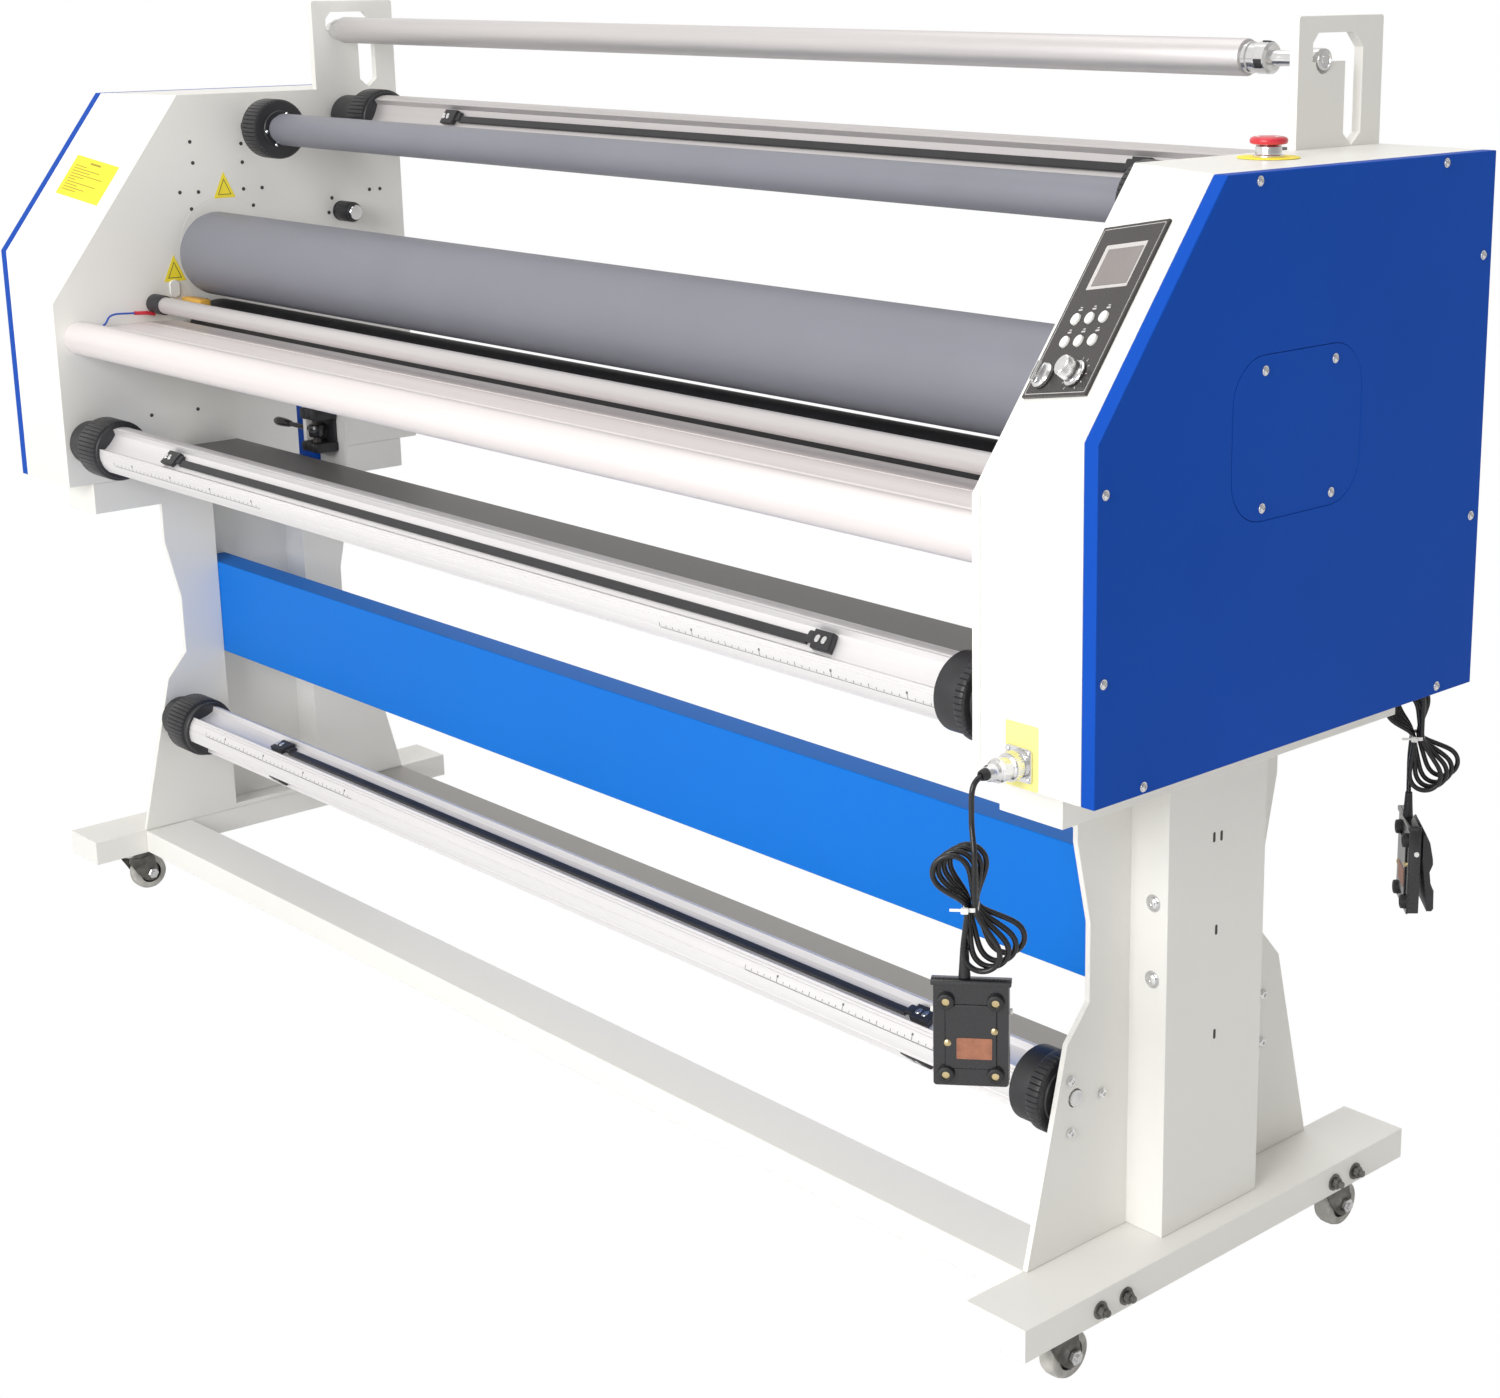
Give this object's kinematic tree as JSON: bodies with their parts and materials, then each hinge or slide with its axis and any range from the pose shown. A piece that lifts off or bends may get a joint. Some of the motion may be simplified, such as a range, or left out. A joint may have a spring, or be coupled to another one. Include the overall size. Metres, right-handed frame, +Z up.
{
  "type": "cold roll laminator",
  "caption": "Wide-format cold roll laminator: two side cabinets on a castered frame carry pressure rollers, a feed table, media shafts and foot switches.",
  "frame": {"origin": "on the floor, under the middle of the castered frame", "axes": "+X along the rollers towards the control-panel cabinet, +Y from the operator's side to the back, +Z up"},
  "size_m": [1.982, 0.7345, 1.217],
  "materials": {
    "white_paint": "fine-textured warm white powder coat",
    "blue_paint": "satin royal blue powder coat",
    "beam_blue_paint": "satin mid blue powder coat",
    "aluminium": "satin anodised aluminium",
    "silicone_rubber": "matt grey silicone rubber",
    "black_rubber": "matt black rubber",
    "caster_tyre": "dark caster tyre",
    "dark_steel": "dark zinc and painted steel",
    "bright_steel": "bright turned steel",
    "black_plastic": "moulded black",
    "ivory_plastic": "ivory moulded keys",
    "red_plastic": "red moulded",
    "yellow_plastic": "yellow label and collar"
  },
  "bodies": {
    "frame": {"foot_right": "white_paint", "foot_left": "white_paint", "leg_right": "white_paint", "leg_left": "white_paint", "front_cross_beam": "white_paint", "rear_cross_beam": "white_paint", "stretcher_beam": "beam_blue_paint", "tie_beam": "white_paint", "side_plate_right": "white_paint", "side_plate_left": "white_paint", "cabinet_shell_right": "white_paint", "cabinet_shell_left": "white_paint", "cabinet_cover_right": "blue_paint", "cabinet_cover_left": "blue_paint", "service_hatch": "blue_paint", "feed_table": "aluminium", "control_panel": "black_plastic", "emergency_stop_collar": "yellow_plastic", "drive_gear_motor": "dark_steel", "clamp_bracket": "blue_paint", "front_foot_switch_connector": "bright_steel", "front_foot_switch_cord": "black_rubber", "front_foot_switch_cord_hank": "black_rubber", "front_foot_switch_pan": "black_plastic", "rear_foot_switch_connector": "bright_steel", "rear_foot_switch_cord": "black_rubber", "rear_foot_switch_cord_hank": "black_rubber", "rear_foot_switch_pan": "black_plastic"},
    "lift_carriage": {"roller_bearing_block_right": "dark_steel", "roller_bearing_block_left": "dark_steel"},
    "upper_roller": {"upper_roller": "silicone_rubber"},
    "lower_roller": {"lower_roller": "black_rubber"},
    "motor_sprocket": {"motor_sprocket": "bright_steel"},
    "feed_idler": {"feed_idler": "aluminium"},
    "front_take_up_shaft": {"front_take_up_shaft": "aluminium"},
    "lower_media_shaft": {"lower_media_shaft": "aluminium"},
    "film_supply_shaft": {"film_supply_shaft": "silicone_rubber"},
    "rear_media_shaft": {"rear_media_shaft": "aluminium"},
    "top_tube": {"top_tube": "aluminium"},
    "panel_button_1": {"panel_button_1": "ivory_plastic"},
    "panel_button_2": {"panel_button_2": "ivory_plastic"},
    "panel_button_3": {"panel_button_3": "ivory_plastic"},
    "panel_button_4": {"panel_button_4": "ivory_plastic"},
    "panel_button_5": {"panel_button_5": "ivory_plastic"},
    "panel_button_6": {"panel_button_6": "ivory_plastic"},
    "speed_knob": {"speed_knob": "bright_steel"},
    "selector_switch": {"selector_switch": "bright_steel"},
    "emergency_stop_button": {"emergency_stop_button": "red_plastic"},
    "tension_knob": {"tension_knob": "black_plastic"},
    "clamp_lever": {"clamp_lever": "black_plastic"},
    "front_right_caster_fork": {"front_right_caster_fork": "dark_steel"},
    "front_right_caster_wheel": {"front_right_caster_wheel": "caster_tyre"},
    "front_left_caster_fork": {"front_left_caster_fork": "dark_steel"},
    "front_left_caster_wheel": {"front_left_caster_wheel": "caster_tyre"},
    "rear_right_caster_fork": {"rear_right_caster_fork": "dark_steel"},
    "rear_right_caster_wheel": {"rear_right_caster_wheel": "caster_tyre"},
    "rear_left_caster_fork": {"rear_left_caster_fork": "dark_steel"},
    "rear_left_caster_wheel": {"rear_left_caster_wheel": "caster_tyre"},
    "front_foot_switch_treadle": {"front_foot_switch_treadle": "black_plastic"},
    "rear_foot_switch_treadle": {"rear_foot_switch_treadle": "black_plastic"}
  },
  "joints": [
    {"name": "upper_roller_lift", "type": "slide", "parent": "frame", "child": "lift_carriage", "axis": [0, 0, 1], "range_m": [-0.006, 0.018]},
    {"name": "upper_roller_spin", "type": "hinge", "parent": "lift_carriage", "child": "upper_roller", "pos_m": [0, -0.043, 0.888], "axis": [1, 0, 0], "continuous": true},
    {"name": "lower_roller_spin", "type": "hinge", "parent": "frame", "child": "lower_roller", "pos_m": [0, -0.043, 0.7759], "axis": [1, 0, 0], "continuous": true},
    {"name": "motor_sprocket_spin", "type": "hinge", "parent": "frame", "child": "motor_sprocket", "pos_m": [0, 0.118, 0.716], "axis": [1, 0, 0], "continuous": true},
    {"name": "feed_idler_spin", "type": "hinge", "parent": "frame", "child": "feed_idler", "pos_m": [0, -0.129, 0.826], "axis": [1, 0, 0], "continuous": true},
    {"name": "front_take_up_shaft_spin", "type": "hinge", "parent": "frame", "child": "front_take_up_shaft", "pos_m": [0, -0.238, 0.652], "axis": [1, 0, 0], "continuous": true},
    {"name": "lower_media_shaft_spin", "type": "hinge", "parent": "frame", "child": "lower_media_shaft", "pos_m": [0, -0.143, 0.251], "axis": [1, 0, 0], "continuous": true},
    {"name": "film_supply_shaft_spin", "type": "hinge", "parent": "frame", "child": "film_supply_shaft", "pos_m": [0, 0.031, 1.052], "axis": [1, 0, 0], "continuous": true},
    {"name": "rear_media_shaft_spin", "type": "hinge", "parent": "frame", "child": "rear_media_shaft", "pos_m": [0, 0.182, 1.06], "axis": [1, 0, 0], "continuous": true},
    {"name": "top_tube_spin", "type": "hinge", "parent": "frame", "child": "top_tube", "pos_m": [0, 0.174, 1.178], "axis": [1, 0, 0], "continuous": true},
    {"name": "panel_button_1_press", "type": "slide", "parent": "frame", "child": "panel_button_1", "axis": [0.2749, 0.7662, -0.5808], "range_m": [0, 0.0015], "stiffness_N_per_m": 200, "springref_m": -0.0015},
    {"name": "panel_button_2_press", "type": "slide", "parent": "frame", "child": "panel_button_2", "axis": [0.2749, 0.7662, -0.5808], "range_m": [0, 0.0015], "stiffness_N_per_m": 200, "springref_m": -0.0015},
    {"name": "panel_button_3_press", "type": "slide", "parent": "frame", "child": "panel_button_3", "axis": [0.2749, 0.7662, -0.5808], "range_m": [0, 0.0015], "stiffness_N_per_m": 200, "springref_m": -0.0015},
    {"name": "panel_button_4_press", "type": "slide", "parent": "frame", "child": "panel_button_4", "axis": [0.2749, 0.7662, -0.5808], "range_m": [0, 0.0015], "stiffness_N_per_m": 200, "springref_m": -0.0015},
    {"name": "panel_button_5_press", "type": "slide", "parent": "frame", "child": "panel_button_5", "axis": [0.2749, 0.7662, -0.5808], "range_m": [0, 0.0015], "stiffness_N_per_m": 200, "springref_m": -0.0015},
    {"name": "panel_button_6_press", "type": "slide", "parent": "frame", "child": "panel_button_6", "axis": [0.2749, 0.7662, -0.5808], "range_m": [0, 0.0015], "stiffness_N_per_m": 200, "springref_m": -0.0015},
    {"name": "speed_knob_turn", "type": "hinge", "parent": "frame", "child": "speed_knob", "pos_m": [0.92282, -0.21977, 0.93873], "axis": [-0.2749, -0.7662, 0.5808], "range_deg": [-150, 150]},
    {"name": "selector_switch_turn", "type": "hinge", "parent": "frame", "child": "selector_switch", "pos_m": [0.87802, -0.20992, 0.93051], "axis": [-0.2749, -0.7662, 0.5808], "range_deg": [-45, 45]},
    {"name": "emergency_stop_press", "type": "slide", "parent": "frame", "child": "emergency_stop_button", "axis": [0, 0, -1], "range_m": [0, 0.004], "stiffness_N_per_m": 1500, "springref_m": -0.002},
    {"name": "tension_knob_turn", "type": "hinge", "parent": "frame", "child": "tension_knob", "pos_m": [-0.85, 0.16, 0.93], "axis": [1, 0, 0], "range_deg": [-135, 135]},
    {"name": "clamp_lever_turn", "type": "hinge", "parent": "frame", "child": "clamp_lever", "pos_m": [-0.669, -0.002, 0.66], "axis": [0, 0, 1], "range_deg": [0, 100]},
    {"name": "front_right_caster_swivel", "type": "hinge", "parent": "frame", "child": "front_right_caster_fork", "pos_m": [0.888, -0.205, 0.057], "axis": [0, 0, 1], "continuous": true},
    {"name": "front_right_caster_roll", "type": "hinge", "parent": "front_right_caster_fork", "child": "front_right_caster_wheel", "pos_m": [0.888, -0.191, 0.0245], "axis": [1, 0, 0], "continuous": true},
    {"name": "front_left_caster_swivel", "type": "hinge", "parent": "frame", "child": "front_left_caster_fork", "pos_m": [-0.888, -0.205, 0.057], "axis": [0, 0, 1], "continuous": true},
    {"name": "front_left_caster_roll", "type": "hinge", "parent": "front_left_caster_fork", "child": "front_left_caster_wheel", "pos_m": [-0.888, -0.191, 0.0245], "axis": [1, 0, 0], "continuous": true},
    {"name": "rear_right_caster_swivel", "type": "hinge", "parent": "frame", "child": "rear_right_caster_fork", "pos_m": [0.888, 0.205, 0.057], "axis": [0, 0, 1], "continuous": true},
    {"name": "rear_right_caster_roll", "type": "hinge", "parent": "rear_right_caster_fork", "child": "rear_right_caster_wheel", "pos_m": [0.888, 0.219, 0.0245], "axis": [1, 0, 0], "continuous": true},
    {"name": "rear_left_caster_swivel", "type": "hinge", "parent": "frame", "child": "rear_left_caster_fork", "pos_m": [-0.888, 0.205, 0.057], "axis": [0, 0, 1], "continuous": true},
    {"name": "rear_left_caster_roll", "type": "hinge", "parent": "rear_left_caster_fork", "child": "rear_left_caster_wheel", "pos_m": [-0.888, 0.219, 0.0245], "axis": [1, 0, 0], "continuous": true},
    {"name": "front_foot_switch_treadle_press", "type": "hinge", "parent": "frame", "child": "front_foot_switch_treadle", "pos_m": [0.90764, -0.32837, 0.412], "axis": [-0.766, -0.6428, 0], "range_deg": [0, 6], "stiffness_Nm_per_rad": 0.6, "springref_deg": -8.59},
    {"name": "rear_foot_switch_treadle_press", "type": "hinge", "parent": "frame", "child": "rear_foot_switch_treadle", "pos_m": [0.89229, 0.32089, 0.39], "axis": [-0.7071, 0.7071, 0], "range_deg": [0, 6], "stiffness_Nm_per_rad": 0.6, "springref_deg": -8.59}
  ],
  "couplings": [
    {"joint": "upper_roller_spin", "follows": "lower_roller_spin", "ratio": -0.89928},
    {"joint": "motor_sprocket_spin", "follows": "lower_roller_spin", "ratio": 1.5}
  ]
}
